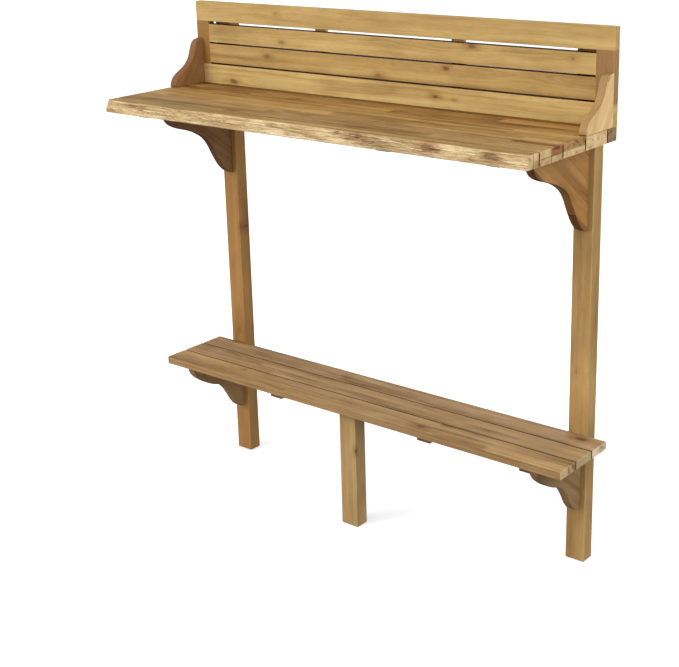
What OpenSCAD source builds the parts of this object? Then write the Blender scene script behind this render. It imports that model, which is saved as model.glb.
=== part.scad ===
// Balcony bar: live-edge slatted worktop, slatted back panel, two posts,
// curved corbels, and a low slatted footrest shelf on a centre leg.
// +Z up, front towards -Y, floor at z = 0, middle of the object at x = y = 0.

/* [Overall size] */
// full width, along X
overall_w = 1219.2; // [1100:0.1:1400]
// full depth, live edge to the rear of the posts
overall_d = 387.35; // [380:0.05:400]
// full height, floor to the top of the back panel
overall_h = 1250.95; // [1230:0.05:1300]

/* [Posts and leg] */
// post width, along X
post_w = 49; // [44:1:54]
// post depth, along Y
post_d = 37; // [34:1:40]
// centre of each post, measured from the middle
post_x = 534.7; // [480:0.1:540]
// how far the post tops stop below the top of the panel
post_drop = 16; // [8:1:22]
// centre leg width, along X
leg_w = 49; // [40:1:56]
// centre leg depth, along Y
leg_d = 37; // [30:1:42]
// centre leg set back from the front of the shelf
leg_setback = 19; // [10:1:22]
// bevel round the foot of each post and of the leg
foot_bevel = 2; // [1:0.5:4]

/* [Worktop] */
// height of the worktop's upper face
top_z = 1042; // [1020:1:1060]
// worktop thickness
top_t = 30; // [26:1:34]
// width of the three wide slats
slat_w = 86; // [82:1:88]
// width of the rear slat under the panel
rear_slat_w = 38; // [34:1:42]
// gap between worktop slats
slat_gap = 3; // [2:0.5:4]
// how far the natural edge wanders in and out
wave = 4; // [1:0.5:6]

/* [Back panel] */
// thickness of the panel's rails, stiles and slats
panel_t = 19; // [16:1:22]
// gap between the horizontal boards
panel_gap = 3.5; // [3:0.5:6]
// gap under the top rail
top_gap = 7; // [4:0.5:9]
// width of the two end stiles
stile_w = 43.5; // [38:0.5:45]
// centre of each rear batten, measured from the middle
panel_batten_x = 203; // [150:1:260]
// width of the rear battens
panel_batten_w = 34; // [28:1:40]
// thickness of the rear battens
panel_batten_t = 10; // [8:1:14]

/* [Gallery brackets] */
// length along the worktop
gallery_l = 108; // [98:1:115]
// height above the worktop
gallery_h = 115; // [100:1:130]
// thickness
gallery_t = 19; // [16:1:22]

/* [Corbels] */
// thickness of all four corbels
corbel_t = 21; // [18:1:24]
// length of the worktop corbels, along Y
corbel_l = 222; // [200:1:240]
// height of the worktop corbels
corbel_h = 209; // [190:1:230]
// length of the shelf corbels, along Y
shelf_corbel_l = 188; // [170:1:195]
// height of the shelf corbels
shelf_corbel_h = 168; // [150:1:185]

/* [Footrest shelf] */
// height of the shelf's upper face
shelf_z = 323; // [300:1:340]
// shelf thickness
shelf_t = 20; // [18:1:24]
// shelf depth, along Y
shelf_d = 200.5; // [196:0.5:220]
// gap between shelf slats
shelf_gap = 3; // [2:0.5:4]

/* [Battens] */
// centre of the inner battens, measured from the middle
batten_x = 232; // [180:1:300]
// width of the inner battens
batten_w = 38; // [34:1:44]
// width of the battens beside the corbels
side_batten_w = 30; // [26:1:34]
// thickness of the worktop battens
top_batten_t = 9; // [8:0.5:15]
// thickness of the shelf battens
shelf_batten_t = 15; // [14:1:18]
// shelf battens set back from the front of the shelf
shelf_batten_setback = 17; // [12:1:22]

/* [Hardware] */
// bolt shank diameter
bolt_d = 6; // [5:0.5:8]
// bolt head diameter
bolt_head_d = 12; // [11:0.5:14]
// bolt head thickness
bolt_head_h = 3.4; // [3:0.2:4]
// screw shank diameter
screw_d = 4; // [3:0.5:5]
// screw head diameter
screw_head_d = 8; // [7:0.5:9]
// screw head thickness
screw_head_h = 2; // [1.6:0.2:2.4]

/* [Hidden] */
// radial clearance round shanks and heads
clear = 0.2;
eps = 0.01;
// straight runs of the natural edge
wave_n = 48;
// points along each run of a bracket curve
curve_n = 5;

rear_y = overall_d / 2;
front_y = -overall_d / 2;
post_y0 = rear_y - post_d;
panel_y0 = post_y0 - panel_t;
half_w = overall_w / 2;

top_under = top_z - top_t;
live_w = post_y0 - front_y - 3 * slat_w - rear_slat_w - 4 * slat_gap;
live_y1 = front_y + live_w;
slat2_y0 = live_y1 + slat_gap;
slat3_y0 = slat2_y0 + slat_w + slat_gap;
slat4_y0 = slat3_y0 + slat_w + slat_gap;
rear_slat_y0 = slat4_y0 + slat_w + slat_gap;

board_h = (overall_h - top_z - 3 * panel_gap) / 4;
bottom_rail_z = top_z;
lower_slat_z = bottom_rail_z + board_h + panel_gap;
upper_slat_z = lower_slat_z + board_h + panel_gap;
top_rail_z = upper_slat_z + board_h + panel_gap;
upper_slat_h = top_rail_z - top_gap - upper_slat_z;
post_top = overall_h - post_drop;

shelf_under = shelf_z - shelf_t;
shelf_y0 = post_y0 - shelf_d;
shelf_slat_w = (shelf_d - 2 * shelf_gap) / 3;
shelf_slat2_y0 = shelf_y0 + shelf_slat_w + shelf_gap;
shelf_slat3_y0 = shelf_slat2_y0 + shelf_slat_w + shelf_gap;
leg_y0 = shelf_y0 + leg_setback;

side_batten_x = post_x - corbel_t / 2 - side_batten_w / 2;
top_batten_y0 = live_y1 - 9.2;
top_batten_y1 = post_y0 - 6;
shelf_batten_y0 = shelf_y0 + shelf_batten_setback;
shelf_batten_y1 = post_y0 - 6;

pale = [0.80, 0.60, 0.34];
warm = [0.74, 0.52, 0.27];
brown = [0.64, 0.43, 0.23];
steel = [0.62, 0.63, 0.65];

// ---------- shared shapes ----------

// board by its low corner and its size
module board(p, s) { translate(p) cube(s); }

// upright with a bevelled foot, by its low corner, section and height
module foot_profile(w, h) {
  b = foot_bevel;
  polygon([[b, 0], [w - b, 0], [w, b], [w, h], [0, h], [0, b]]);
}
module upright(p, w, d, h) {
  translate(p) intersection() {
    translate([0, d, 0]) rotate([90, 0, 0]) linear_extrude(d) foot_profile(w, h);
    rotate([90, 0, 90]) linear_extrude(w) foot_profile(d, h);
  }
}

// point on a smooth curve through four neighbours
function cr(a, b, c, d, t) =
  0.5 * ((2 * b) + (c - a) * t + (2 * a - 5 * b + 4 * c - d) * t * t + (3 * b - a - 3 * c + d) * t * t * t);
// smooth open curve through the points p
function smooth(p, n) = concat(
  [for (i = [0:len(p) - 2], k = [0:n - 1])
    cr(p[max(i - 1, 0)], p[i], p[i + 1], p[min(i + 2, len(p) - 1)], k / n)],
  [p[len(p) - 1]]);

// plate of thickness t across X, from x0; its profile is given forward of
// y = yb, up or down (side = 1 or -1) from z = zb, and scaled to l by h
module plate(prof, l, h, t, x0, yb, zb, side) {
  pts = [for (q = prof) [yb - q[0] * l, zb + side * q[1] * h]];
  translate([x0, 0, 0]) rotate([90, 0, 90]) linear_extrude(t)
    polygon(concat([[yb, zb]], pts));
}

// profiles as shares of length and height, from the horizontal edge's tip
// round to the upright edge
worktop_corbel_curve = smooth([[1, 0], [1, 0.125], [0.965, 0.2], [0.9, 0.255], [0.8, 0.302], [0.7, 0.335],
  [0.6, 0.37], [0.5, 0.42], [0.4, 0.49], [0.325, 0.585], [0.27, 0.69], [0.215, 0.79], [0.15, 0.89],
  [0.075, 0.962], [0, 1]], curve_n);
shelf_corbel_curve = smooth([[1, 0], [0.99, 0.085], [0.935, 0.17], [0.84, 0.262], [0.73, 0.345], [0.62, 0.405],
  [0.52, 0.443], [0.435, 0.495], [0.35, 0.59], [0.275, 0.715], [0.21, 0.84], [0.135, 0.94],
  [0.075, 0.988], [0.03, 0.985], [0, 0.955]], curve_n);
gallery_curve = smooth([[0.985, 0], [1, 0.035], [0.97, 0.13], [0.9, 0.225], [0.78, 0.3], [0.66, 0.36],
  [0.54, 0.43], [0.43, 0.525], [0.355, 0.64], [0.305, 0.77], [0.255, 0.88], [0.19, 0.955],
  [0.1, 0.985], [0, 1]], curve_n);

// ---------- fastener positions ----------

// bolts through each post, from its rear: height and reach past its front
bolt_rows = [
  [top_rail_z + board_h / 2 - 6, panel_t - 5],
  [bottom_rail_z + board_h / 2, panel_t - 5],
  [top_under - 36, 40],
  [top_under - 120, 34],
  [shelf_under - 30, 40],
  [shelf_under - 100, 30]
];
// seat of the bolt heads below the post's rear face
bolt_seat = 5;

module bolt(x, z, reach, grow = 0) {
  // shank, then head, both along Y
  translate([x, rear_y - bolt_seat, z]) rotate([90, 0, 0])
    cylinder(h = post_d - bolt_seat + reach + grow, d = bolt_d + 2 * grow, $fn = 24);
  translate([x, rear_y - bolt_seat + bolt_head_h + (grow > 0 ? 2 : 0), z]) rotate([90, 0, 0])
    cylinder(h = bolt_head_h + (grow > 0 ? 2 : 0), d = bolt_head_d + 2 * grow, $fn = 32);
}

// bolt with a hexagon socket
module socket_bolt(x, z, reach) {
  difference() {
    bolt(x, z, reach);
    translate([x, rear_y - bolt_seat + bolt_head_h + eps, z]) rotate([90, 0, 0])
      cylinder(h = 2.2, d = 4.6, $fn = 6);
  }
}

module post_bolt_cuts(s) {
  for (r = bolt_rows) bolt(s * post_x, r[0], r[1], clear);
}

// screw pointing up, its head's lower face at z; hd = head depth
module screw_up(x, y, z, len, grow = 0) {
  translate([x, y, z + screw_head_h]) cylinder(h = len + grow, d = screw_d + 2 * grow, $fn = 20);
  translate([x, y, z - (grow > 0 ? 1 : 0)])
    cylinder(h = screw_head_h + (grow > 0 ? 1 : 0), d = screw_head_d + 2 * grow, $fn = 24);
}

// rows of batten screws: Y positions across the boards
top_screw_y = [live_y1 - 4.8, slat2_y0 + 20, slat2_y0 + slat_w - 20, slat3_y0 + 20, slat3_y0 + slat_w - 20,
  slat4_y0 + 20, slat4_y0 + slat_w - 20, rear_slat_y0 + 14];
shelf_screw_y = [shelf_y0 + shelf_slat_w * 0.5, shelf_slat2_y0 + shelf_slat_w * 0.25,
  shelf_slat2_y0 + shelf_slat_w * 0.75, shelf_slat3_y0 + shelf_slat_w * 0.25, shelf_slat3_y0 + shelf_slat_w * 0.72];
batten_xs = [-side_batten_x, -batten_x, batten_x, side_batten_x];

module top_screws(grow = 0) {
  for (x = batten_xs, y = top_screw_y)
    screw_up(x, y, top_under - top_batten_t, top_batten_t + 13, grow);
}
module shelf_screws(grow = 0) {
  for (x = batten_xs, y = shelf_screw_y)
    screw_up(x, y, shelf_under - shelf_batten_t - screw_head_h, shelf_batten_t + 12, grow);
}
// screws up through the worktop into the gallery brackets, heads let in
module gallery_screws_at(s, grow = 0) {
  for (y = [panel_y0 - gallery_l * 0.62, panel_y0 - gallery_l * 0.3])
    screw_up(s * (half_w - gallery_t / 2), y, top_under + 3, top_t - 3 + 22, grow);
}
// deeper mouths for the let-in heads
module gallery_head_cuts(s) {
  for (y = [panel_y0 - gallery_l * 0.62, panel_y0 - gallery_l * 0.3])
    translate([s * (half_w - gallery_t / 2), y, top_under - 1]) cylinder(h = 5, d = screw_head_d + 2 * clear, $fn = 24);
}
// screws up through the rear slat into the panel's bottom rail
panel_screw_xs = [-430, -310, -110, 110, 310, 430];
module panel_base_screws(grow = 0) {
  for (x = panel_screw_xs)
    screw_up(x, panel_y0 + panel_t / 2, top_under + 3, top_t - 3 + 24, grow);
}
module panel_base_head_cuts() {
  for (x = panel_screw_xs)
    translate([x, panel_y0 + panel_t / 2, top_under - 1]) cylinder(h = 5, d = screw_head_d + 2 * clear, $fn = 24);
}
// screws through the panel battens, along -Y, heads on the battens' rear
module panel_batten_screws(grow = 0) {
  for (s = [-1, 1], z = [bottom_rail_z, lower_slat_z, upper_slat_z, top_rail_z])
    translate([s * panel_batten_x, post_y0 + panel_batten_t + screw_head_h, z + board_h / 2]) rotate([90, 0, 0])
      screw_up(0, 0, 0, panel_batten_t + 12, grow);
}
// screws from the side battens into the corbels, pointing outwards
module side_screws(zc, ys, grow = 0) {
  for (s = [-1, 1], y = ys)
    translate([s * (side_batten_x - side_batten_w / 2 - screw_head_h), y, zc]) rotate([0, s * 90, 0])
      screw_up(0, 0, 0, side_batten_w + 14, grow);
}
top_side_z = top_under - top_batten_t / 2;
shelf_side_z = shelf_under - shelf_batten_t / 2;
top_side_ys = [post_y0 - corbel_l * 0.8, post_y0 - corbel_l * 0.44, post_y0 - corbel_l * 0.14];
shelf_side_ys = [post_y0 - shelf_corbel_l * 0.75, post_y0 - shelf_corbel_l * 0.32];
module top_side_screws(grow = 0) { side_screws(top_side_z, top_side_ys, grow); }
module shelf_side_screws(grow = 0) { side_screws(shelf_side_z, shelf_side_ys, grow); }

// dowels: stile ends, and panel slat ends
dowel_d = 8;
module dowel_x(x, y, z, len, grow = 0) {
  translate([x - len / 2 - grow, y, z]) rotate([0, 90, 0]) cylinder(h = len + 2 * grow, d = dowel_d + 2 * grow, $fn = 24);
}
module dowel_z(x, y, z, len, grow = 0) {
  translate([x, y, z - len / 2 - grow]) cylinder(h = len + 2 * grow, d = dowel_d + 2 * grow, $fn = 24);
}
panel_mid_y = panel_y0 + panel_t / 2;
module slat_dowels(grow = 0) {
  for (s = [-1, 1], z = [lower_slat_z, upper_slat_z])
    dowel_x(s * (half_w - stile_w), panel_mid_y, z + board_h / 2, 36, grow);
}
module stile_dowels(grow = 0) {
  for (s = [-1, 1], z = [top_rail_z - panel_gap, bottom_rail_z + board_h + panel_gap])
    dowel_z(s * (half_w - stile_w / 2), panel_mid_y, z, 36, grow);
}

// stud that ties the centre leg to the shelf
stud_d = 8;
module stud(grow = 0) {
  translate([0, leg_y0 + leg_d / 2, shelf_under - 34 - grow])
    cylinder(h = 34 + 13 + 2 * grow, d = stud_d + 2 * grow, $fn = 24);
}

// ---------- posts and leg ----------

module post(s) {
  color(warm) difference() {
    upright([s * post_x - post_w / 2, post_y0, 0], post_w, post_d, post_top);
    post_bolt_cuts(s);
  }
}

module front_leg() {
  color(warm) difference() {
    upright([-leg_w / 2, leg_y0, 0], leg_w, leg_d, shelf_under);
    stud(clear);
  }
}

// ---------- worktop ----------

// natural front edge, in plan
function live_y(x) = front_y + wave * pow(sin(x * 0.47 + 20), 2) * (0.55 + 0.45 * pow(cos(x * 1.13), 2));

module live_edge_slat() {
  n = wave_n;
  front = [for (i = [0:n]) let (x = -half_w + overall_w * i / n) [x, live_y(x)]];
  color(pale) difference() {
    translate([0, 0, top_under]) linear_extrude(top_t)
      polygon(concat(front, [[half_w, live_y1], [-half_w, live_y1]]));
    top_screws(clear);
  }
}

module wide_slat(y0, tint) {
  color(tint) difference() {
    board([-half_w, y0, top_under], [overall_w, slat_w, top_t]);
    top_screws(clear);
    for (s = [-1, 1]) { gallery_screws_at(s, clear); gallery_head_cuts(s); }
  }
}

module worktop_rear_slat() {
  color(brown) difference() {
    board([-half_w, rear_slat_y0, top_under], [overall_w, rear_slat_w, top_t]);
    top_screws(clear);
    panel_base_screws(clear);
    panel_base_head_cuts();
  }
}

module worktop_batten(xc, w) {
  color(warm) difference() {
    board([xc - w / 2, top_batten_y0, top_under - top_batten_t], [w, top_batten_y1 - top_batten_y0, top_batten_t]);
    top_screws(clear);
    top_side_screws(clear);
  }
}

// ---------- back panel ----------

module panel_board(x0, w, z, tint, h = board_h) {
  color(tint) difference() {
    board([x0, panel_y0, z], [w, panel_t, h]);
    for (s = [-1, 1]) post_bolt_cuts(s);
    panel_batten_screws(clear);
    panel_base_screws(clear);
    slat_dowels(clear);
    stile_dowels(clear);
  }
}

module panel_stile(s) {
  z0 = bottom_rail_z + board_h;
  x0 = s < 0 ? -half_w : half_w - stile_w;
  color(brown) difference() {
    board([x0, panel_y0, z0], [stile_w, panel_t, top_rail_z - z0]);
    slat_dowels(clear);
    stile_dowels(clear);
  }
}

module panel_batten(s) {
  color(pale) difference() {
    board([s * panel_batten_x - panel_batten_w / 2, post_y0, bottom_rail_z + 4],
      [panel_batten_w, panel_batten_t, overall_h - bottom_rail_z - 14]);
    panel_batten_screws(clear);
  }
}

module gallery_bracket(s) {
  x0 = s < 0 ? -half_w : half_w - gallery_t;
  color(warm) difference() {
    plate(gallery_curve, gallery_l, gallery_h, gallery_t, x0, panel_y0, top_z, 1);
    gallery_screws_at(s, clear);
  }
}

// ---------- corbels ----------

module worktop_corbel(s) {
  color(warm) difference() {
    plate(worktop_corbel_curve, corbel_l, corbel_h, corbel_t, s * post_x - corbel_t / 2, post_y0, top_under, -1);
    post_bolt_cuts(s);
    top_side_screws(clear);
  }
}

module shelf_corbel(s) {
  color(brown) difference() {
    plate(shelf_corbel_curve, shelf_corbel_l, shelf_corbel_h, corbel_t, s * post_x - corbel_t / 2, post_y0, shelf_under, -1);
    post_bolt_cuts(s);
    shelf_side_screws(clear);
  }
}

// ---------- footrest shelf ----------

module shelf_slat(y0, tint) {
  color(tint) difference() {
    board([-half_w, y0, shelf_under], [overall_w, shelf_slat_w, shelf_t]);
    shelf_screws(clear);
    stud(clear);
  }
}

module shelf_batten(xc, w) {
  color(brown) difference() {
    board([xc - w / 2, shelf_batten_y0, shelf_under - shelf_batten_t],
      [w, shelf_batten_y1 - shelf_batten_y0, shelf_batten_t]);
    shelf_screws(clear);
    shelf_side_screws(clear);
  }
}

// ---------- hardware ----------

module post_bolts() {
  color(steel) for (s = [-1, 1], r = bolt_rows) socket_bolt(s * post_x, r[0], r[1]);
}
module worktop_batten_screws() { color(steel) top_screws(); }
module shelf_batten_screws() { color(steel) shelf_screws(); }
module gallery_screws() { color(steel) for (s = [-1, 1]) gallery_screws_at(s); }
module panel_screws() { color(steel) { panel_base_screws(); panel_batten_screws(); } }
module corbel_screws() { color(steel) { top_side_screws(); shelf_side_screws(); } }
module panel_dowels() { color(pale) { slat_dowels(); stile_dowels(); } }
module leg_stud() { color(steel) stud(); }

post(-1);  // post_left
post(1);  // post_right
front_leg();
live_edge_slat();
wide_slat(slat2_y0, pale);  // worktop_slat_front
wide_slat(slat3_y0, warm);  // worktop_slat_middle
wide_slat(slat4_y0, pale);  // worktop_slat_back
worktop_rear_slat();
worktop_batten(-side_batten_x, side_batten_w);  // worktop_batten_left
worktop_batten(-batten_x, batten_w);  // worktop_batten_mid_left
worktop_batten(batten_x, batten_w);  // worktop_batten_mid_right
worktop_batten(side_batten_x, side_batten_w);  // worktop_batten_right
panel_board(-half_w, overall_w, top_rail_z, pale);  // panel_top_rail
panel_board(-half_w + stile_w, overall_w - 2 * stile_w, upper_slat_z, warm, upper_slat_h);  // panel_upper_slat
panel_board(-half_w + stile_w, overall_w - 2 * stile_w, lower_slat_z, pale);  // panel_lower_slat
panel_board(-half_w, overall_w, bottom_rail_z, pale);  // panel_bottom_rail
panel_stile(-1);  // panel_stile_left
panel_stile(1);  // panel_stile_right
panel_batten(-1);  // panel_batten_left
panel_batten(1);  // panel_batten_right
gallery_bracket(-1);  // gallery_bracket_left
gallery_bracket(1);  // gallery_bracket_right
worktop_corbel(-1);  // worktop_corbel_left
worktop_corbel(1);  // worktop_corbel_right
shelf_corbel(-1);  // shelf_corbel_left
shelf_corbel(1);  // shelf_corbel_right
shelf_slat(shelf_y0, pale);  // shelf_slat_front
shelf_slat(shelf_slat2_y0, warm);  // shelf_slat_middle
shelf_slat(shelf_slat3_y0, brown);  // shelf_slat_back
shelf_batten(-side_batten_x, side_batten_w);  // shelf_batten_left
shelf_batten(-batten_x, batten_w);  // shelf_batten_mid_left
shelf_batten(batten_x, batten_w);  // shelf_batten_mid_right
shelf_batten(side_batten_x, side_batten_w);  // shelf_batten_right
post_bolts();
worktop_batten_screws();
shelf_batten_screws();
gallery_screws();
panel_screws();
corbel_screws();
panel_dowels();
leg_stud();
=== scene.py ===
import math

import bmesh
import bpy
from mathutils import Matrix, Vector, noise


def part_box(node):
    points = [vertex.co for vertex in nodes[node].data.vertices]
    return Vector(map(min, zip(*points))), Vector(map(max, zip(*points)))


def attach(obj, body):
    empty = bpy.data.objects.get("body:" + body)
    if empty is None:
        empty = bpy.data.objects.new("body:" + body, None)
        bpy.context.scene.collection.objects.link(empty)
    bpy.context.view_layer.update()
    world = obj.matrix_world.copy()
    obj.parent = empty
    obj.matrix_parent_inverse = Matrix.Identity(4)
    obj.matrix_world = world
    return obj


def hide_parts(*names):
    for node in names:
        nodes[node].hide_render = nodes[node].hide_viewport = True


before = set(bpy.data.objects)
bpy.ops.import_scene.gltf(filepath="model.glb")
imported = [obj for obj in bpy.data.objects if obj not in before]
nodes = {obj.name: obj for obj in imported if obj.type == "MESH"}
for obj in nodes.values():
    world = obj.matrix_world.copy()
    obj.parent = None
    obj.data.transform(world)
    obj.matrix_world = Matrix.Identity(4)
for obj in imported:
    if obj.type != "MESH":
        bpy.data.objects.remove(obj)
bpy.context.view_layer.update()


scene = bpy.context.scene
scene.view_settings.view_transform = "Standard"
scene.view_settings.look = "None"
scene.view_settings.exposure = 0.0
scene.view_settings.gamma = 1.0

# ---------------------------------------------------------------- camera

CAM_RIGHT = (0.76931, 0.63827, -0.02772)
CAM_BACK = (0.61601, -0.72958, 0.29705)

cam_data = bpy.data.cameras.new("camera")
cam = bpy.data.objects.new("camera", cam_data)
scene.collection.objects.link(cam)
right = Vector(CAM_RIGHT).normalized()
back = Vector(CAM_BACK).normalized()
up = back.cross(right).normalized()
right = up.cross(back).normalized()
cam.matrix_world = Matrix((
    (right.x, up.x, back.x, 1.97327),
    (right.y, up.y, back.y, -2.37532),
    (right.z, up.z, back.z, 1.59963),
    (0, 0, 0, 1),
))
cam_data.sensor_fit = "HORIZONTAL"
cam_data.sensor_width = 36.0
cam_data.lens = 1360.0 / 679.0 * 36.0
cam_data.shift_x = 0.0
cam_data.shift_y = -0.08
cam_data.clip_end = 200.0
cam_data.dof.use_dof = False
scene.camera = cam

# ---------------------------------------------------------------- stage

FLOOR_HALF = 60.0


class Tree:
    """Small helper for writing node trees as expressions."""

    def __init__(self, tree):
        self.t = tree
        self.n = tree.nodes
        self.l = tree.links

    def node(self, kind, **props):
        n = self.n.new(kind)
        for k, v in props.items():
            setattr(n, k, v)
        return n

    def put(self, socket, value):
        if isinstance(value, bpy.types.NodeSocket):
            self.l.new(value, socket)
        elif value is not None:
            socket.default_value = value

    def m(self, op, a, b=None, c=None, clamp=False):
        n = self.node("ShaderNodeMath", operation=op, use_clamp=clamp)
        for i, v in enumerate((a, b, c)):
            if v is not None:
                self.put(n.inputs[i], v)
        return n.outputs[0]

    def add(self, a, b): return self.m("ADD", a, b)
    def sub(self, a, b): return self.m("SUBTRACT", a, b)
    def mul(self, a, b): return self.m("MULTIPLY", a, b)
    def mad(self, a, b, c): return self.m("MULTIPLY_ADD", a, b, c)

    def v(self, op, a, b=None):
        n = self.node("ShaderNodeVectorMath", operation=op)
        self.put(n.inputs[0], a)
        if b is not None:
            self.put(n.inputs[1], b)
        return n.outputs["Value"] if op in ("LENGTH", "DISTANCE", "DOT_PRODUCT") else n.outputs["Vector"]

    def xyz(self, x=0.0, y=0.0, z=0.0):
        n = self.node("ShaderNodeCombineXYZ")
        for s, val in zip(n.inputs, (x, y, z)):
            self.put(s, val)
        return n.outputs[0]

    def split(self, vec):
        n = self.node("ShaderNodeSeparateXYZ")
        self.put(n.inputs[0], vec)
        return n.outputs[0], n.outputs[1], n.outputs[2]

    def noise(self, vec, detail=2.0, rough=0.5, scale=1.0):
        n = self.node("ShaderNodeTexNoise", noise_dimensions="3D")
        self.put(n.inputs["Vector"], vec)
        n.inputs["Scale"].default_value = scale
        n.inputs["Detail"].default_value = detail
        n.inputs["Roughness"].default_value = rough
        return n.outputs["Fac"]

    def noise1(self, w, detail=1.0, rough=0.5):
        n = self.node("ShaderNodeTexNoise", noise_dimensions="1D")
        self.put(n.inputs["W"], w)
        n.inputs["Scale"].default_value = 1.0
        n.inputs["Detail"].default_value = detail
        n.inputs["Roughness"].default_value = rough
        return n.outputs["Fac"]

    def rand(self, vec):
        n = self.node("ShaderNodeTexWhiteNoise", noise_dimensions="3D")
        self.put(n.inputs["Vector"], vec)
        return n.outputs["Value"], n.outputs["Color"]

    def smooth(self, x, lo, hi, to_lo=0.0, to_hi=1.0):
        n = self.node("ShaderNodeMapRange", interpolation_type="SMOOTHSTEP", clamp=True)
        self.put(n.inputs["Value"], x)
        n.inputs["From Min"].default_value = lo
        n.inputs["From Max"].default_value = hi
        n.inputs["To Min"].default_value = to_lo
        n.inputs["To Max"].default_value = to_hi
        return n.outputs["Result"]

    def mixc(self, fac, a, b, blend="MIX"):
        n = self.node("ShaderNodeMix", data_type="RGBA", blend_type=blend, clamp_factor=True)
        self.put(n.inputs[0], fac)
        self.put(n.inputs[6], a)
        self.put(n.inputs[7], b)
        return n.outputs[2]

    def ramp(self, fac, stops):
        n = self.node("ShaderNodeValToRGB")
        cr = n.color_ramp
        while len(cr.elements) < len(stops):
            cr.elements.new(0.5)
        for e, (p, col) in zip(cr.elements, stops):
            e.position = p
            e.color = (*col, 1.0)
        self.put(n.inputs[0], fac)
        return n.outputs[0]

    def position(self):
        return self.node("ShaderNodeTexCoord").outputs["Object"]


def material(name):
    mat = bpy.data.materials.new(name)
    mat.use_nodes = True
    mat.node_tree.nodes.clear()
    return mat, Tree(mat.node_tree)


def lin(hexcol):
    out = []
    for i in (0, 2, 4):
        c = int(hexcol[i:i + 2], 16) / 255.0
        out.append(c / 12.92 if c <= 0.04045 else ((c + 0.055) / 1.055) ** 2.4)
    return tuple(out)


# pale floor
floor_mesh = bpy.data.meshes.new("studio_floor")
bm = bmesh.new()
bmesh.ops.create_grid(bm, x_segments=2, y_segments=2, size=FLOOR_HALF)
bm.to_mesh(floor_mesh)
bm.free()
floor = bpy.data.objects.new("studio_floor", floor_mesh)
floor.location = (0, 0, -0.0004)
scene.collection.objects.link(floor)
mat, t = material("studio_floor")
bsdf = t.node("ShaderNodeBsdfPrincipled")
bsdf.inputs["Base Color"].default_value = (0.88, 0.88, 0.88, 1)
bsdf.inputs["Roughness"].default_value = 1.0
bsdf.inputs["Specular IOR Level"].default_value = 0.0
bsdf.inputs["Emission Color"].default_value = (1, 1, 1, 1)
bsdf.inputs["Emission Strength"].default_value = 0.30
out = t.node("ShaderNodeOutputMaterial")
t.l.new(bsdf.outputs[0], out.inputs[0])
floor_mesh.materials.append(mat)
floor.visible_diffuse = False
floor.visible_glossy = False

# surroundings: pale, dimmer low down than overhead, seen as near white
world = bpy.data.worlds.new("studio")
scene.world = world
world.use_nodes = True
world.node_tree.nodes.clear()
t = Tree(world.node_tree)
coord = t.node("ShaderNodeTexCoord").outputs["Generated"]
wx, wy, wz = t.split(coord)
AMBIENT, ABOVE, FRONT, SIDE = 0.19, 0.22, 1.12, 0.98


def lobe(direction, strength):
    d = Vector(direction).normalized()
    c = t.m("MAXIMUM", t.v("DOT_PRODUCT", coord, tuple(d)), 0.0)
    return t.mul(t.mul(c, c), strength)


level = t.add(t.smooth(wz, -0.2, 0.9, AMBIENT, AMBIENT + ABOVE), lobe((-0.50, -1.0, 0.25), FRONT))
soft = t.node("ShaderNodeBackground")
t.put(soft.inputs["Color"], (1.0, 0.99, 0.975, 1))
t.put(soft.inputs["Strength"], level)
side = t.node("ShaderNodeBackground")
t.put(side.inputs["Color"], (0.90, 0.985, 1.12, 1))
t.put(side.inputs["Strength"], lobe((1.0, -0.25, 0.25), SIDE))
both = t.node("ShaderNodeAddShader")
t.l.new(soft.outputs[0], both.inputs[0])
t.l.new(side.outputs[0], both.inputs[1])
seen = t.node("ShaderNodeBackground")
t.put(seen.inputs["Color"], (1.0, 1.0, 1.0, 1))
t.put(seen.inputs["Strength"], 1.0)
path = t.node("ShaderNodeLightPath")
mix = t.node("ShaderNodeMixShader")
t.l.new(path.outputs["Is Camera Ray"], mix.inputs[0])
t.l.new(both.outputs[0], mix.inputs[1])
t.l.new(seen.outputs[0], mix.inputs[2])
out = t.node("ShaderNodeOutputWorld")
t.l.new(mix.outputs[0], out.inputs[0])


def area(name, place, target, size_x, size_y, power, colour=(1, 1, 1)):
    data = bpy.data.lights.new(name, "AREA")
    data.shape = "RECTANGLE"
    data.size, data.size_y = size_x, size_y
    data.energy = power
    data.color = colour
    ob = bpy.data.objects.new(name, data)
    scene.collection.objects.link(ob)
    ob.location = place
    ob.rotation_euler = (Vector(target) - Vector(place)).to_track_quat("-Z", "Y").to_euler()
    return ob


area("soft_front_top", (-1.7, -3.0, 2.7), (0, 0, 0.75), 1.9, 1.6, 62, (1, 0.985, 0.96))
area("soft_rear", (0.6, 3.1, 2.5), (0, 0.1, 0.8), 2.2, 1.6, 34, (1, 0.985, 0.96))
area("soft_right", (2.45, -0.25, 1.75), (0.5, 0, 0.9), 1.3, 1.3, 25, (0.90, 0.985, 1.12))

# floor lighting, even to the horizon: a wide soft sun straight overhead
sun_data = bpy.data.lights.new("overhead", "SUN")
sun_data.energy = 0.8
sun_data.angle = math.radians(75)
sun = bpy.data.objects.new("overhead", sun_data)
sun.location = (0, 0, 6)
sun.rotation_euler = (math.radians(12), math.radians(-6), 0)
scene.collection.objects.link(sun)

# ---------------------------------------------------------------- wood

AXES = {"x": (0, 1, 2), "y": (1, 0, 2), "z": (2, 0, 1)}   # along, across, through


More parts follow.
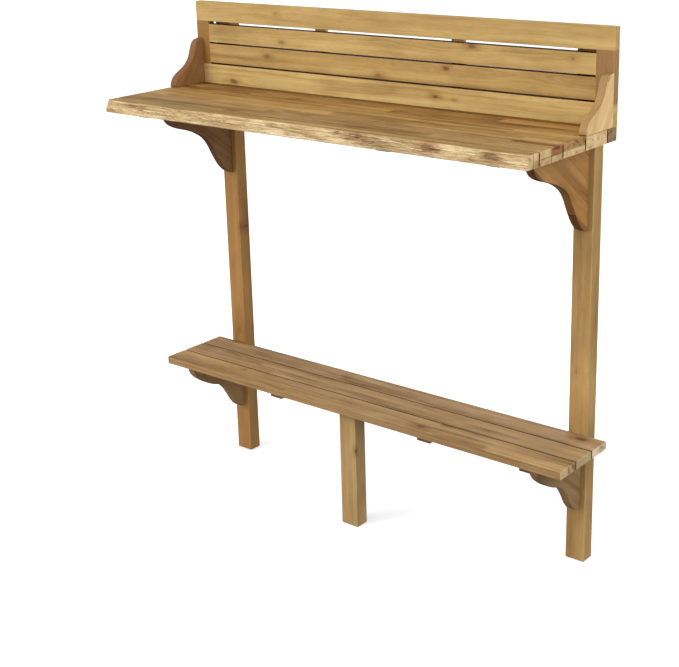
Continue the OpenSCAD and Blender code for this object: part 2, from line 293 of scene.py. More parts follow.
def wood(name, base, along="x", across=None, seed=1.0, strips=None, joint=None, layer=None,
         tint=0.16, knots=(), box=None, turn=None, streak=1.0, rings=1.0, heart=0.35, rough=0.46,
         blocks=(), front=None, fade=None, gap_shade_sides="", ends=0.85, end_tone=None, mottle=1.0, glue=0.35, contrast=1.0,
         edge_shade=None, gap_tone=(0.30, 0.25, 0.20), deep_gap=False):
    """base: mean colour. along: grain axis. strips: (start, width) of glued strips across, joint: length of
    the pieces end to end, layer: (start, thickness) of glued layers. knots: (along, across, radius, strength), with an
    optional centre through the board for a knot that doesn't run right through it. rim: factor of painted shade on sawn
    edges.
    blocks: (centre along, half length, centre across, half width, centre through, half thickness, hex factor)."""
    mat, t = material(name)
    pos = t.position()
    if turn is not None:           # (angle about X, centre y, centre z): grain runs on a slant in the YZ plane
        ang, cy, cz = turn
        mp = t.node("ShaderNodeMapping", vector_type="POINT")
        t.put(mp.inputs["Vector"], t.v("SUBTRACT", pos, (0.0, cy, cz)))
        mp.inputs["Rotation"].default_value = (ang, 0, 0)
        local = mp.outputs[0]
        comp = t.split(local)
        L, W, T = comp[1], comp[2], comp[0]
    else:
        comp = t.split(pos)
        if across is None:
            ia, iw, it = AXES[along]
        else:
            ia = "xyz".index(along)
            iw = "xyz".index(across)
            it = 3 - ia - iw
        L, W, T = comp[ia], comp[iw], comp[it]

    # glued strips, each cut from another piece of wood
    idw = t.m("FLOOR", t.m("DIVIDE", t.sub(W, strips[0]), strips[1])) if strips else 0.0
    idt = t.m("FLOOR", t.m("DIVIDE", t.sub(T, layer[0]), layer[1])) if layer else 0.0
    if joint:
        r0, _ = t.rand(t.xyz(idw, idt, seed * 3.7))
        zig = t.m("PINGPONG", t.add(W, T), 0.0022)
        Lj = t.add(t.mad(zig, 4.2, L), t.mul(r0, joint))
        idl = t.m("FLOOR", t.m("DIVIDE", Lj, joint))
    else:
        idl = 0.0
    rv, rc = t.rand(t.xyz(t.add(idw, seed * 11.3), idt, idl))
    r1, r2, r3 = t.split(rc)

    # each piece samples the wood somewhere else
    Ls = t.mad(r1, 7.0, L)
    Ws = t.mad(t.sub(r2, 0.5), 0.9, W)
    Ts = t.mad(t.sub(r3, 0.5), 0.7, T)

    # rings round an axis beside the board, wandering along it
    wob = t.noise(t.xyz(t.mul(Ls, 1.7), t.mul(Ws, 7.0), t.mul(Ts, 7.0)), 3.0, 0.55)
    jit = t.noise(t.xyz(t.mul(Ls, 9.0), t.mul(Ws, 70.0), t.mul(Ts, 70.0)), 2.0, 0.5)
    cw = t.mad(t.sub(r2, 0.5), 0.14, strips[0] + strips[1] * 0.5 if strips else (box[0][iw] + box[1][iw]) * 0.5 if box and turn is None else 0.0)
    ct = t.mad(r3, -0.09, -0.03)
    dw = t.sub(W, cw)
    dt = t.sub(t.sub(T, (box[0][it] + box[1][it]) * 0.5 if box and turn is None else 0.0), ct)
    r = t.m("SQRT", t.add(t.mul(dw, dw), t.mul(dt, dt)))
    r = t.mad(wob, 0.040, r)
    r = t.mad(jit, 0.0022, r)

    # knots push the grain round themselves
    core = halo = eye = None
    for knot in knots:
        kl, kw, kr, ks = knot[:4]
        a = t.mul(t.sub(L, kl), 0.52)
        b = t.sub(W, kw)
        d = t.add(t.mul(a, a), t.mul(b, b))
        if len(knot) > 4:
            c = t.mul(t.sub(T, knot[4]), 1.1)
            d = t.mad(c, c, d)
        d = t.m("SQRT", d)
        d = t.mad(t.sub(jit, 0.5), kr * 1.5, t.mad(t.sub(wob, 0.5), kr * 1.6, d))
        q = t.m("DIVIDE", d, kr * 1.9)
        bend = t.m("EXPONENT", t.mul(t.mul(q, q), -1.0))
        r = t.mad(bend, kr * 0.9 * ks, r)
        c = t.mul(t.smooth(d, kr * 0.72, kr * 1.0, 1.0, 0.0), ks)
        h = t.mul(t.smooth(d, kr * 0.8, kr * 2.9, 1.0, 0.0), ks)
        e = t.mad(t.noise1(t.mul(d, 900.0), 1.0), 0.6, t.smooth(d, kr * 0.20, kr * 0.75, -0.15, 0.55))
        core = c if core is None else t.m("MAXIMUM", core, c)
        halo = h if halo is None else t.m("MAXIMUM", halo, h)
        eye = e if eye is None else t.m("MINIMUM", eye, e)

    broad = t.noise1(t.mad(rv, 31.0, t.mul(r, 120.0)), 2.0, 0.55)
    lines = t.noise1(t.mad(rv, 57.0, t.mul(r, 560.0)), 2.0, 0.6)
    streaks = t.noise(t.xyz(t.mul(Ls, 1.6), t.mul(Ws, 62.0), t.mul(Ts, 62.0)), 4.0, 0.62)
    patch = t.noise(t.xyz(t.mul(Ls, 3.2), t.mul(Ws, 11.0), t.mul(Ts, 11.0)), 3.0, 0.5)
    fibre = t.noise(t.xyz(t.mul(Ls, 16.0), t.mul(Ws, 760.0), t.mul(Ts, 760.0)), 2.0, 0.6)
    pore = t.noise(t.xyz(t.mul(Ls, 42.0), t.mul(Ws, 1500.0), t.mul(Ts, 1500.0)), 1.0, 0.5)
    pores = t.smooth(pore, 0.60, 0.72)

    cloud = t.noise(t.xyz(t.mul(Ls, 9.0), t.mul(Ws, 24.0), t.mul(Ts, 24.0)), 3.0, 0.55)
    tone = t.mad(t.sub(broad, 0.5), 0.42 * rings, 0.5)
    tone = t.mad(t.sub(lines, 0.5), 0.24 * rings, tone)
    tone = t.mad(t.sub(streaks, 0.5), 0.80 * streak, tone)
    tone = t.mad(t.sub(patch, 0.5), 0.60 * mottle, tone)
    tone = t.mad(t.sub(cloud, 0.5), 0.46 * mottle, tone)
    tone = t.mad(t.sub(fibre, 0.5), 0.16, tone)
    tone = t.mad(t.sub(tone, 0.5), contrast, 0.5)
    tone = t.mad(t.sub(rv, 0.5), tint * 2.0, tone)
    bl = base
    dark = tuple(b * f for b, f in zip(bl, (0.52, 0.43, 0.33)))
    mid = tuple(b * f for b, f in zip(bl, (0.97, 0.95, 0.92)))
    light = tuple(min(0.97, b * f) for b, f in zip(bl, (1.30, 1.36, 1.50)))
    col = t.ramp(tone, [(0.0, dark), (0.5, mid), (1.0, light)])

    # heartwood streaks, redder and darker
    hw = t.noise(t.xyz(t.mul(Ls, 0.9), t.mul(Ws, 17.0), t.mul(Ts, 17.0)), 3.0, 0.6)
    hm = t.mul(t.smooth(t.mad(t.sub(lines, 0.5), 0.10, hw), 0.55, 0.70), heart)
    col = t.mixc(hm, col, (0.60, 0.44, 0.31, 1), "MULTIPLY")
    # a slight change of hue from piece to piece
    col = t.mixc(t.mul(t.smooth(r1, 0.35, 1.0), 0.55), col, (1.03, 0.955, 0.86, 1), "MULTIPLY")

    if fade:                       # (start, end, factor): tone drifts along the board
        k = t.smooth(L, fade[0], fade[1])
        col = t.mixc(k, col, (*fade[2], 1), "MULTIPLY")

    if core is not None:
        col = t.mixc(t.mul(halo, 0.62), col, (0.66, 0.50, 0.36, 1), "MULTIPLY")
        kcol = t.mixc(eye, (0.052, 0.024, 0.008, 1), (0.27, 0.135, 0.048, 1))
        col = t.mixc(t.mul(core, 0.94), col, kcol)

    if front is not None:          # paler outer wood of the natural edge, with scraps of inner bark
        y_edge, deep = front
        ny = t.mul(t.split(t.node("ShaderNodeNewGeometry").outputs["Normal"])[1], -1.0)
        near = t.mul(t.smooth(W, y_edge + deep, y_edge + deep * 2.4, 1.0, 0.0), t.smooth(ny, 0.12, 0.55))
        pale = t.noise(t.xyz(t.mul(L, 7.0), t.mul(W, 20.0), t.mul(T, 55.0)), 4.0, 0.6)
        sap = t.ramp(pale, [(0.32, (0.29, 0.175, 0.072)), (0.48, (0.47, 0.325, 0.145)), (0.66, (0.66, 0.50, 0.275))])
        if core is not None:
            sap = t.mixc(t.mul(halo, 0.75), sap, (0.62, 0.44, 0.31, 1), "MULTIPLY")
            sap = t.mixc(t.mul(core, 0.62), sap, (0.120, 0.058, 0.026, 1))
        col = t.mixc(t.mul(near, 0.90), col, sap)
        bark = t.noise(t.xyz(t.mul(L, 24.0), t.mul(W, 40.0), t.mul(T, 230.0)), 4.0, 0.62)
        patches = t.smooth(t.noise(t.xyz(t.mul(L, 5.5), 3.0, t.mul(T, 22.0)), 2.0, 0.5), 0.46, 0.60, 0.15, 1.0)
        if halo is not None:
            patches = t.m("MAXIMUM", patches, halo)
        bk = t.mul(t.mul(t.smooth(bark, 0.53, 0.60), near), patches)
        bk = t.mul(bk, t.smooth(L, -0.42, 0.02, 0.32, 1.0))
        col = t.mixc(t.mul(bk, 0.80), col, (0.175, 0.090, 0.042, 1))
        thread = t.noise(t.xyz(t.mul(L, 10.0), t.mul(W, 60.0), t.mul(T, 620.0)), 3.0, 0.6)
        col = t.mixc(t.mul(t.mul(t.smooth(thread, 0.56, 0.64), near), 0.55), col, (0.40, 0.27, 0.17, 1), "MULTIPLY")
        col = t.mixc(t.mul(t.mul(t.smooth(thread, 0.36, 0.44, 1.0, 0.0), near), 0.45), col, (0.86, 0.74, 0.53, 1))

    if strips and glue:            # glue lines
        g = t.m("ABSOLUTE", t.sub(t.m("FRACT", t.add(t.m("DIVIDE", t.sub(W, strips[0]), strips[1]), 0.5)), 0.5))
        gl = t.smooth(t.mul(g, strips[1]), 0.0002, 0.0009, 1.0, 0.0)
        col = t.mixc(t.mul(gl, glue), col, (0.50, 0.38, 0.27, 1), "MULTIPLY")
    if ends < 1.0:                 # end grain drinks more oil
        geo_n = t.node("ShaderNodeNewGeometry").outputs["Normal"]
        if turn is not None:
            way = (0.0, math.cos(turn[0]), -math.sin(turn[0]))
        else:
            way = tuple(1.0 if i == ia else 0.0 for i in range(3))
        eg = t.m("ABSOLUTE", t.v("DOT_PRODUCT", geo_n, way))
        eg = t.smooth(eg, 0.55, 0.95)
        if end_tone:
            e = lin(end_tone)
            sawn = t.ramp(tone, [(0.0, tuple(v * f for v, f in zip(e, (0.42, 0.34, 0.26)))), (0.45, e),
                                 (1.0, tuple(min(0.97, v * f) for v, f in zip(e, (1.2, 1.24, 1.3))))])
            col = t.mixc(t.mul(eg, 0.85), col, sawn)
        else:
            col = t.mixc(eg, col, (ends, ends * 0.97, ends * 0.93, 1), "MULTIPLY")
    for (bl0, bh, bw, bhw, bt, bht, fac) in blocks:
        def inside(x, c0, half, soft=0.0006):
            return t.smooth(t.m("ABSOLUTE", t.sub(x, c0)), half - soft, half + soft, 1.0, 0.0)
        k = inside(t.mad(t.sub(jit, 0.5), 0.03, L), bl0, bh, 0.002)
        k = t.mul(k, inside(W, bw, bhw))
        k = t.mul(k, inside(T, bt, bht))
        col = t.mixc(k, col, (*fac, 1), "MULTIPLY")

    for side in gap_shade_sides:              # painted shade: board sides inside the slot between boards are darkened where shade falls
        lo_, hi_ = box[0][iw], box[1][iw]
        dist = t.sub(W, lo_) if side == "-" else t.sub(hi_, W)
        gap_shade = t.smooth(dist, 0.00005, 0.0012, 1.0, 0.0)
        if deep_gap:               # painted shade only below the lit top of the slot
            down = t.m("MINIMUM", t.sub(T, box[0][it]), t.sub(box[1][it], T))
            gap_shade = t.mul(gap_shade, t.smooth(down, 0.0008, 0.0045, 0.25, 1.0))
        col = t.mixc(gap_shade, col, (*gap_tone, 1), "MULTIPLY")
    if edge_shade:                        # painted shade: sawn curves and sides darker than the broad faces
        broad_n = t.m("ABSOLUTE", t.split(t.node("ShaderNodeNewGeometry").outputs["Normal"])[0])
        col = t.mixc(t.smooth(broad_n, 0.35, 0.85, 1.0, 0.0), col, (*edge_shade, 1), "MULTIPLY")

    col = t.mixc(t.mul(pores, 0.34), col, (0.46, 0.34, 0.25, 1), "MULTIPLY")

    # worn, slightly paler arrises
    wear = None
    if box is not None:
        lo, hi = box
        ds = []
        for c0, i in zip(comp, range(3)):
            ds.append(t.m("MINIMUM", t.sub(c0, lo[i]), t.sub(hi[i], c0)))
        e1 = t.m("MAXIMUM", ds[0], ds[1])
        e2 = t.m("MAXIMUM", ds[0], ds[2])
        e3 = t.m("MAXIMUM", ds[1], ds[2])
        edge = t.m("MINIMUM", e1, t.m("MINIMUM", e2, e3))
    else:
        bev = t.node("ShaderNodeBevel", samples=4)
        bev.inputs["Radius"].default_value = 0.0022
        geo = t.node("ShaderNodeNewGeometry")
        edge = t.m("MULTIPLY", t.v("DOT_PRODUCT", bev.outputs[0], geo.outputs["Normal"]), 1.0)
        edge = t.smooth(edge, 0.80, 0.995, 0.0, 0.0035)
    chip = t.noise(pos, 3.0, 0.6, 85.0)
    wear = t.mul(t.smooth(t.mad(t.sub(chip, 0.5), 0.0030, edge), 0.0004, 0.0026, 1.0, 0.0), 0.55)
    col = t.mixc(wear, col, (1.22, 1.20, 1.16, 1), "MULTIPLY")

    rg = t.mad(t.sub(tone, 0.5), -0.12, rough)
    rg = t.mad(pores, 0.16, rg)
    rg = t.mad(wear, 0.14, rg)
    rg = t.mad(t.sub(patch, 0.5), 0.14, rg)

    h = t.mul(lines, 0.35)
    h = t.mad(fibre, 0.45, h)
    h = t.mad(pores, -0.75, h)
    h = t.mad(broad, 0.30, h)
    h = t.mad(chip, 0.30, h)
    if core is not None:
        h = t.mad(core, -0.5, h)
    bump = t.node("ShaderNodeBump")
    bump.inputs["Strength"].default_value = 0.34
    bump.inputs["Distance"].default_value = 0.0006
    t.put(bump.inputs["Height"], h)

    p = t.node("ShaderNodeBsdfPrincipled")
    t.put(p.inputs["Base Color"], col)
    t.put(p.inputs["Roughness"], rg)
    t.put(p.inputs["Normal"], bump.outputs[0])
    p.inputs["IOR"].default_value = 1.46
    p.inputs["Specular IOR Level"].default_value = 0.24
    out = t.node("ShaderNodeOutputMaterial")
    t.l.new(p.outputs[0], out.inputs[0])
    return mat


def zinc(name, seed):
    mat, t = material(name)
    pos = t.position()
    cell = t.node("ShaderNodeTexVoronoi", voronoi_dimensions="3D", feature="F1")
    t.put(cell.inputs["Vector"], t.v("ADD", pos, (seed, 0, 0)))
    cell.inputs["Scale"].default_value = 620.0
    x, y, z = t.split(cell.outputs["Color"])
    grime = t.noise(pos, 4.0, 0.6, 260.0)
    brush = t.noise(t.v("MULTIPLY", pos, (2600.0, 2600.0, 260.0)), 2.0, 0.5)
    tone = t.mad(t.sub(x, 0.5), 0.22, 0.5)
    tone = t.mad(t.sub(grime, 0.5), 0.9, tone)
    tone = t.mad(t.sub(brush, 0.5), 0.25, tone)
    col = t.ramp(tone, [(0.0, (0.20, 0.19, 0.175)), (0.5, (0.50, 0.495, 0.48)), (1.0, (0.68, 0.68, 0.67))])
    rg = t.mad(grime, 0.35, 0.20)
    bump = t.node("ShaderNodeBump")
    bump.inputs["Strength"].default_value = 0.3
    bump.inputs["Distance"].default_value = 0.0002
    t.put(bump.inputs["Height"], t.add(grime, t.mul(brush, 0.4)))
    p = t.node("ShaderNodeBsdfPrincipled")
    t.put(p.inputs["Base Color"], col)
    t.put(p.inputs["Roughness"], rg)
    t.put(p.inputs["Normal"], bump.outputs[0])
    p.inputs["Metallic"].default_value = 1.0
    out = t.node("ShaderNodeOutputMaterial")
    t.l.new(p.outputs[0], out.inputs[0])
    return mat


# base colours, one per board (mean linear albedo)
BASE = {
    "panel_top_rail": "a78b55", "panel_upper_slat": "ae9057", "panel_lower_slat": "a2844e", "panel_bottom_rail": "bb9e63",
    # the panel battens' base is raised paler than their wood: painted light where they show through the slot between
    # the panel boards
    "panel_stile_left": "84612f", "panel_stile_right": "87663e",
    "panel_batten_left": "d3b072", "panel_batten_right": "d3b072", "panel_dowels": "b99a68",
    "live_edge_slat": "967a4d", "worktop_slat_front": "927449", "worktop_slat_middle": "a17f4a",
    "worktop_slat_back": "8d6935", "worktop_rear_slat": "67410f",
    "worktop_batten_left": "8e683a", "worktop_batten_mid_left": "916b3c", "worktop_batten_mid_right": "8f693b", "worktop_batten_right": "946e3e",
    "gallery_bracket_left": "866139", "gallery_bracket_right": "bd9c69",
    "worktop_corbel_left": "7f5a33", "worktop_corbel_right": "956b39",
    "shelf_corbel_left": "8a6a40", "shelf_corbel_right": "8f7048",
    "shelf_slat_front": "997b51", "shelf_slat_middle": "967953", "shelf_slat_back": "997b57",
    "shelf_batten_left": "7d5b35", "shelf_batten_mid_left": "7a5833", "shelf_batten_mid_right": "7b5934", "shelf_batten_right": "7d5b35",
    "post_left": "98703d", "post_right": "a78551", "front_leg": "a68758",
}

boxes = {n: tuple(tuple(v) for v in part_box(n)) for n in nodes}


SPEC = {
    # panel: plain sawn boards, grain along X, across Z
    "panel_top_rail": dict(along="x", across="z", seed=1.3, heart=0.18, streak=0.75, contrast=1.5, gap_shade_sides="-", knots=[(-0.33, 1.232, 0.0045, 0.5)]),
    "panel_upper_slat": dict(along="x", across="z", seed=2.1, heart=0.22, streak=0.75, contrast=1.5, gap_shade_sides="-+",
                             knots=[(0.5115, 1.1785, 0.0050, 0.55), (0.2542, 1.1900, 0.0065, 0.75), (-0.315, 1.163, 0.0045, 0.5)]),
    "panel_lower_slat": dict(along="x", across="z", seed=3.4, heart=0.40, streak=0.8, contrast=1.7, gap_shade_sides="-+",
                             knots=[(0.1838, 1.1350, 0.0078, 1.0), (-0.0113, 1.1050, 0.0075, 0.6), (-0.3658, 1.1240, 0.0070, 0.55)]),
    "panel_bottom_rail": dict(along="x", across="z", seed=4.2, heart=0.25, streak=0.8, contrast=1.5, gap_shade_sides="+",
                              knots=[(-0.4859, 1.0510, 0.0085, 0.75), (0.1546, 1.0675, 0.0062, 1.0), (0.2050, 1.0640, 0.0050, 0.35)]),
    "panel_stile_left": dict(along="z", across="x", seed=5.1, heart=0.5),
    "panel_stile_right": dict(along="z", across="x", seed=5.9, heart=0.45),
    "panel_batten_left": dict(along="z", across="x", seed=6.3, heart=0.3),
    "panel_batten_right": dict(along="z", across="x", seed=6.9, heart=0.3),
    # worktop: glued strips, two layers of blocks
    "live_edge_slat": dict(along="x", across="y", seed=7.7, strips=(-0.1937, 0.0216), joint=0.62, layer=(1.012, 0.030),
                           tint=0.14, heart=0.35, front=(-0.1937, 0.0070), contrast=1.6, gap_shade_sides="+", end_tone="be9d71",
                           blocks=[(0.612, 0.012, -0.1725, 0.0012, 1.027, 0.02, (0.42, 0.34, 0.26)),
                                   (0.612, 0.012, -0.1610, 0.0100, 1.0215, 0.0070, (0.78, 0.70, 0.60))],
                           knots=[(-0.520, -0.1905, 0.0065, 0.9, 1.0379), (-0.483, -0.1915, 0.0050, 0.8, 1.0314), (0.1837, -0.1900, 0.0070, 1.0, 1.0353),
                                  (0.2055, -0.1915, 0.0055, 0.9, 1.0289), (0.2353, -0.1900, 0.0055, 0.9, 1.0350), (0.3731, -0.1910, 0.0085, 1.0, 1.0305),
                                  (0.395, -0.1915, 0.0050, 0.7, 1.0262), (0.5259, -0.1915, 0.0070, 0.9, 1.0295), (-0.06, -0.1905, 0.0045, 0.6, 1.033)]),
    "worktop_slat_front": dict(along="x", across="y", seed=8.2, strips=(-0.1483, 0.0433), joint=0.47, layer=(1.012, 0.015),
                               tint=0.24, heart=0.45, contrast=2.1, gap_shade_sides="-+", end_tone="ae8f61",
                               blocks=[(0.560, 0.060, -0.0828, 0.0090, 1.0400, 0.0040, (0.50, 0.36, 0.26)),
                                       (0.612, 0.010, -0.0835, 0.0205, 1.0340, 0.0078, (0.60, 0.38, 0.27)),
                                       (0.612, 0.010, -0.1050, 0.0008, 1.0270, 0.0200, (0.35, 0.27, 0.20)),
                                       (0.612, 0.010, -0.1050, 0.0450, 1.0258, 0.0007, (0.45, 0.35, 0.26)),
                                       (0.612, 0.010, -0.1270, 0.0200, 1.0345, 0.0075, (1.12, 1.13, 1.15)),
                                       (0.612, 0.010, -0.1050, 0.0430, 1.0185, 0.0065, (1.10, 1.12, 1.16))],
                               knots=[(-0.2298, -0.1382, 0.009, 0.65), (0.1413, -0.1400, 0.009, 0.6)]),
    "worktop_slat_middle": dict(along="x", across="y", seed=9.5, strips=(-0.0593, 0.0430), joint=0.52, layer=(1.012, 0.015),
                                tint=0.24, heart=0.45, contrast=2.1, gap_shade_sides="-+", end_tone="bf9e6f",
                                blocks=[(0.612, 0.010, -0.0163, 0.0430, 1.0350, 0.0070, (0.66, 0.53, 0.43)),
                                        (0.612, 0.010, -0.0163, 0.0430, 1.0268, 0.0007, (0.42, 0.32, 0.24)),
                                        (0.612, 0.010, 0.0050, 0.0008, 1.0350, 0.0070, (0.40, 0.30, 0.22))],
                                knots=[(0.2256, -0.0212, 0.009, 0.65), (0.600, -0.035, 0.007, 0.9, 1.034), (0.606, 0.010, 0.005, 0.8, 1.036)]),
    "worktop_slat_back": dict(along="x", across="y", seed=10.4, strips=(0.0297, 0.0430), joint=0.45, layer=(1.012, 0.030),
                              tint=0.22, heart=0.5, contrast=2.1, gap_shade_sides="-+", end_tone="ccac7a",
                              knots=[(-0.5322, 0.0574, 0.0105, 0.7), (-0.2019, 0.0654, 0.008, 0.55), (0.2134, 0.0498, 0.0085, 0.55), (0.606, 0.086, 0.0055, 0.8, 1.021)]),
    "worktop_rear_slat": dict(along="x", across="y", seed=11.8, tint=0.1, heart=0.5, contrast=1.5, gap_shade_sides="-", end_tone="8a6f4c"),
    # gallery brackets and corbels
    # rim: painted shade on the sawn curved edges and sides
    "gallery_bracket_left": dict(ends=0.62, contrast=1.2, turn=(math.radians(-56), 0.09, 1.10), seed=12.2, heart=0.4, edge_shade=(0.66, 0.60, 0.52)),
    "gallery_bracket_right": dict(ends=0.62, contrast=1.2, turn=(math.radians(-60), 0.09, 1.10), seed=13.1, heart=0.15, edge_shade=(0.50, 0.47, 0.38)),
    "worktop_corbel_left": dict(contrast=1.4, glue=0.8, edge_shade=(0.58, 0.52, 0.44), turn=(math.radians(37.7), 0.075, 0.95), seed=14.6, strips=(-0.0599, 0.042), tint=0.22, heart=0.5),
    "worktop_corbel_right": dict(contrast=1.9, glue=0.9, edge_shade=(0.58, 0.52, 0.44), turn=(math.radians(37.7), 0.075, 0.95), seed=15.3, strips=(-0.0599, 0.042), tint=0.34, heart=0.45),
    "shelf_corbel_left": dict(turn=(math.radians(40), 0.08, 0.24), seed=16.5, strips=(-0.083, 0.045), tint=0.20, heart=0.4),
    "shelf_corbel_right": dict(turn=(math.radians(40), 0.08, 0.24), seed=17.2, strips=(-0.083, 0.045), tint=0.20, heart=0.4),
    # shelf
    "shelf_slat_front": dict(along="x", across="y", seed=18.1, tint=0.18, contrast=1.7, end_tone="b79a70", gap_shade_sides="+", heart=0.4, strips=(-0.0438, 0.0325), joint=0.60,
                             knots=[(0.223, -0.0226, 0.0095, 0.85), (-0.37, 0.006, 0.006, 0.6)]),
    "shelf_slat_middle": dict(along="x", across="y", seed=19.7, tint=0.18, contrast=1.7, end_tone="a88f66", gap_shade_sides="-+", heart=0.4, strips=(0.0240, 0.0325), joint=0.60,
                              knots=[(0.36, 0.05, 0.006, 0.4)]),
    "shelf_slat_back": dict(along="x", across="y", seed=20.3, tint=0.18, contrast=1.7, end_tone="dac29a", gap_shade_sides="-", heart=0.45, strips=(0.0918, 0.0325), joint=0.60,
                            knots=[(0.5560, 0.1340, 0.0090, 0.90), (-0.12, 0.121, 0.006, 0.6)]),
    # uprights
    "post_left": dict(along="z", across="x", seed=21.6, heart=0.30, streak=0.75, rings=0.35, mottle=1.2, contrast=1.2, knots=[(0.6530, -0.5080, 0.0058, 0.9), (0.36, -0.531, 0.004, 0.5)]),
    "post_right": dict(along="z", across="x", seed=22.4, heart=0.30, streak=0.75, rings=0.35, mottle=1.2, contrast=1.2, knots=[(0.47, 0.527, 0.0045, 0.5)]),
    "front_leg": dict(along="z", across="y", seed=23.5, heart=0.30, streak=0.75, rings=0.35, mottle=1.2, contrast=1.2, knots=[(0.207, -0.0240, 0.0058, 1.0, 0.0240)]),
}
for i, n in enumerate(("worktop_batten_left", "worktop_batten_mid_left", "worktop_batten_mid_right", "worktop_batten_right",
                       "shelf_batten_left", "shelf_batten_mid_left", "shelf_batten_mid_right", "shelf_batten_right")):
    SPEC[n] = dict(along="y", across="x", seed=30.1 + 1.37 * i, heart=0.5)
SPEC["panel_dowels"] = dict(along="z", across="x", seed=41.0, heart=0.1)
NOT_BOXES = {"gallery_bracket_left", "gallery_bracket_right", "worktop_corbel_left", "worktop_corbel_right",
             "shelf_corbel_left", "shelf_corbel_right", "panel_dowels"}
METAL = {"post_bolts", "worktop_batten_screws", "shelf_batten_screws", "gallery_screws", "panel_screws", "corbel_screws", "leg_stud"}

wood_mats = {}
for n, spec in SPEC.items():
    spec = dict(spec)
    # tones of the painted shade on the slot sides, darkest in the worktop slots
    if n.startswith("panel_") and spec.get("gap_shade_sides"):
        spec["gap_tone"] = (0.20, 0.125, 0.07)
    if n.startswith(("worktop_slat", "worktop_rear", "live_edge")):
        spec["gap_tone"], spec["deep_gap"] = (0.11, 0.08, 0.055), True
    if n not in NOT_BOXES:
        spec["box"] = boxes[n]
    wood_mats[n] = wood("acacia_" + n, lin(BASE[n]), **spec)

# ---------------------------------------------------------------- CAD nodes: material and eased edges

EASE = {"gallery": 0.0014, "worktop_corbel": 0.0014, "shelf_corbel": 0.0014, "post_left": 0.0016, "post_right": 0.0016,
        "front_leg": 0.0016, "panel": 0.0002, "worktop": 0.0016, "shelf": 0.0018}


def dress(ob, mat):
    ob.data.materials.clear()
    ob.data.materials.append(mat)


def arrises(name, x_planes=None):
    """Marks the edges to ease, leaving hole rims alone: long arrises, or the outline of a bracket's two broad faces."""
    g = bpy.data.node_groups.new(name, "GeometryNodeTree")
    g.interface.new_socket("Geometry", in_out="INPUT", socket_type="NodeSocketGeometry")
    g.interface.new_socket("Geometry", in_out="OUTPUT", socket_type="NodeSocketGeometry")
    link = g.links.new

    def compare(socket, limit, op="GREATER_THAN"):
        c = g.nodes.new("FunctionNodeCompare")
        c.data_type = "FLOAT"
        c.operation = op
        c.inputs[1].default_value = limit
        link(socket, c.inputs[0])
        return c.outputs[0]

    def logic(op, a, b):
        n = g.nodes.new("FunctionNodeBooleanMath")
        n.operation = op
        link(a, n.inputs[0])
        link(b, n.inputs[1])
        return n.outputs[0]

    chosen = compare(g.nodes.new("GeometryNodeInputMeshEdgeAngle").outputs[0], math.radians(38))
    ends = g.nodes.new("GeometryNodeInputMeshEdgeVertices")
    if x_planes:
        hits = []
        for socket in ("Position 1", "Position 2"):
            part = g.nodes.new("ShaderNodeSeparateXYZ")
            link(ends.outputs[socket], part.inputs[0])
            near_ = []
            for x in x_planes:
                off = g.nodes.new("ShaderNodeMath")
                off.operation = "SUBTRACT"
                link(part.outputs[0], off.inputs[0])
                off.inputs[1].default_value = x
                size = g.nodes.new("ShaderNodeMath")
                size.operation = "ABSOLUTE"
                link(off.outputs[0], size.inputs[0])
                near_.append(compare(size.outputs[0], 0.0001, "LESS_THAN"))
            hits.append(logic("OR", *near_))
        chosen = logic("AND", chosen, logic("AND", *hits))
    else:
        span = g.nodes.new("ShaderNodeVectorMath")
        span.operation = "DISTANCE"
        link(ends.outputs["Position 1"], span.inputs[0])
        link(ends.outputs["Position 2"], span.inputs[1])
        chosen = logic("AND", chosen, compare(span.outputs["Value"], 0.012))
    store = g.nodes.new("GeometryNodeStoreNamedAttribute")
    store.data_type = "FLOAT"
    store.domain = "EDGE"
    store.inputs["Name"].default_value = "bevel_weight_edge"
    link(g.nodes.new("NodeGroupInput").outputs[0], store.inputs["Geometry"])
    link(chosen, next(i for i in store.inputs if i.name == "Value" and i.enabled))
    link(store.outputs[0], g.nodes.new("NodeGroupOutput").inputs[0])
    return g


LONG_ARRISES = arrises("long_arrises")


def ease(ob, width, segments=2, x_planes=None, clamp=True):
    weld = ob.modifiers.new("weld", "WELD")
    weld.merge_threshold = 0.00002
    pick = ob.modifiers.new("pick", "NODES")
    pick.node_group = arrises("outline_" + ob.name, x_planes) if x_planes else LONG_ARRISES
    bev = ob.modifiers.new("ease", "BEVEL")
    bev.width = width
    bev.segments = segments
    bev.limit_method = "WEIGHT"
    bev.use_clamp_overlap = clamp
    bev.harden_normals = False


for n, ob in nodes.items():
    if n in METAL:
        dress(ob, zinc("zinc_" + n, float(len(n))))
        continue
    dress(ob, wood_mats[n])
    if n in ("live_edge_slat", "panel_dowels"):
        continue
    width = next((v for k, v in EASE.items() if n.startswith(k)), 0.0015)
    if "batten" in n:
        width = 0.0010
    planes = (boxes[n][0][0], boxes[n][1][0]) if n.startswith(("gallery", "worktop_corbel", "shelf_corbel")) else None
    ease(ob, width, x_planes=planes, clamp=not n.startswith("gallery"))

# ---------------------------------------------------------------- live edge

lo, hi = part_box("live_edge_slat")


def fbm(x, y, z, octaves=4):
    s, a, f = 0.0, 0.5, 1.0
    for _ in range(octaves):
        s += a * noise.noise(Vector((x * f, y * f, z * f)))
        a *= 0.5
        f *= 2.03
    return s


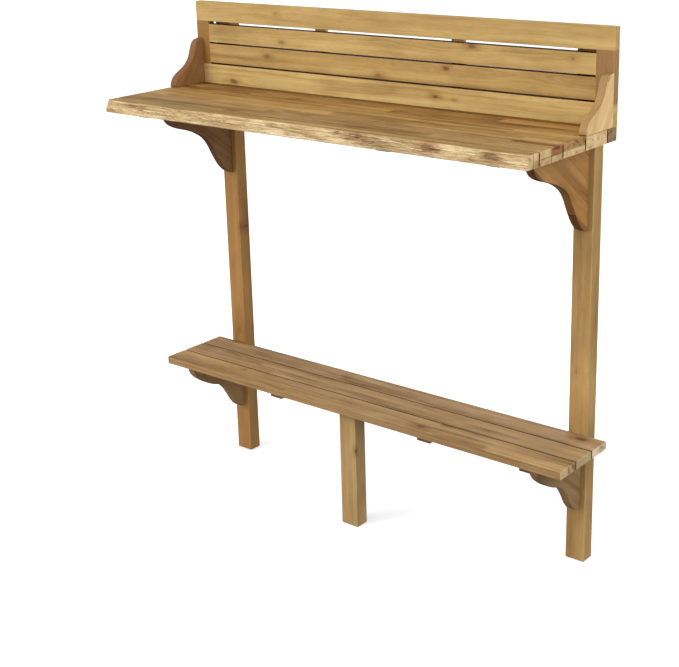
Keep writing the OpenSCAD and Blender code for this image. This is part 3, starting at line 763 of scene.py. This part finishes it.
def live_edge():
    """The front slat: straight bottom arris, wandering and slightly receding top arris, rough front face."""
    x0, x1 = lo.x, hi.x
    y0, y1 = lo.y, hi.y
    z0, z1 = lo.z, hi.z
    nx = 560
    rows = 20                      # up the front face
    bmesh_ = bmesh.new()
    dents = [(-0.505, 0.024, 0.0022), (-0.47, 0.012, 0.0012), (-0.055, 0.022, 0.0022), (-0.01, 0.014, 0.0014),
             (0.125, 0.030, 0.0028), (0.175, 0.016, 0.0016), (0.33, 0.020, 0.0010), (-0.27, 0.022, 0.0012), (0.50, 0.016, 0.0012)]
    rings = []
    for i in range(nx + 1):
        x = x0 + (x1 - x0) * i / nx
        s = (x - x0) / (x1 - x0)
        plan = 0.0016 * (1 + math.sin(x * 7.3 + 0.6)) + 0.0011 * (1 + noise.noise(Vector((x * 14.0, 3.1, 0.0))))
        top = 0.0012 + 0.0042 * max(0.0, 0.45 + noise.noise(Vector((x * 9.0, 8.2, 1.0)))) + 0.0020 * abs(noise.noise(Vector((x * 31.0, 2.2, 5.0))))
        top += 0.0050 * math.exp(-((x - x0) / 0.022) ** 2)
        ring = []
        # bottom rear, along the bottom to the front
        ring.append((y1, z0))
        ring.append((y1 - 0.010, z0))
        ring.append((y0 + 0.020, z0))
        ring.append((y0 + plan * 0.55 + 0.0022, z0))
        for k in range(rows + 1):
            u = k / rows
            z = z0 + 0.0012 + (z1 - z0 - 0.0026) * u
            y = y0 + plan * (0.55 + 0.45 * u) + top * (u ** 2.2)
            rough = 0.0036 * fbm(x * 24.0, z * 190.0, 4.0, 4) + 0.0020 * fbm(x * 110.0, z * 360.0, 9.0, 3)
            for (dx, wd, dp) in dents:
                q = (x - dx) / wd
                y += dp * math.exp(-q * q) * (0.35 + 0.65 * math.sin(math.pi * min(1.0, max(0.0, u * 0.9 + 0.1))) ** 2) * (0.7 + 0.6 * noise.noise(Vector((x * 70.0, z * 160.0, 2.0))))
            fadeb = min(1.0, u * 6.0)
            y += abs(rough) * 1.7 * (0.35 + 0.65 * fadeb)
            ring.append((max(y0 + 0.00002, y), z))
        yt = ring[-1][0]
        ring.append((yt + 0.0012, z1 - 0.0003))
        ring.append((yt + 0.0032, z1))
        ring.append((y0 + 0.024, z1))
        ring.append((y1 - 0.010, z1))
        ring.append((y1 - 0.0015, z1))
        ring.append((y1, z1 - 0.0015))
        ring.append((y1, (z0 + z1) / 2))
        rings.append([bmesh_.verts.new((x, yy, zz)) for yy, zz in ring])
    m = len(rings[0])
    for a, b in zip(rings, rings[1:]):
        for k in range(m):
            bmesh_.faces.new((a[k], a[(k + 1) % m], b[(k + 1) % m], b[k]))
    # ends: sawn square with an eased arris
    for ring_, sign in ((rings[0], -1), (rings[-1], 1)):
        inner = []
        cy = sum(v.co.y for v in ring_) / m
        cz = sum(v.co.z for v in ring_) / m
        for v in ring_:
            dy, dz = v.co.y - cy, v.co.z - cz
            inner.append(bmesh_.verts.new((v.co.x, cy + dy * (1 - 0.0012 / max(abs(dy), 0.004)), cz + dz * (1 - 0.0012 / max(abs(dz), 0.004)))))
        for v in ring_:
            v.co.x -= sign * 0.0012
        for k in range(m):
            q = (ring_[k], inner[k], inner[(k + 1) % m], ring_[(k + 1) % m])
            bmesh_.faces.new(q if sign < 0 else tuple(reversed(q)))
        bmesh_.faces.new(inner if sign > 0 else list(reversed(inner)))
    bmesh.ops.recalc_face_normals(bmesh_, faces=bmesh_.faces)
    mesh = bpy.data.meshes.new("live_edge_board")
    bmesh_.to_mesh(mesh)
    bmesh_.free()
    for p in mesh.polygons:
        p.use_smooth = True
    ob = bpy.data.objects.new("live_edge_board", mesh)
    scene.collection.objects.link(ob)
    mesh.set_sharp_from_angle(angle=math.radians(50))
    ob.data.materials.append(wood_mats["live_edge_slat"])
    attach(ob, "root")
    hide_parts("live_edge_slat")
    return ob


live_edge()
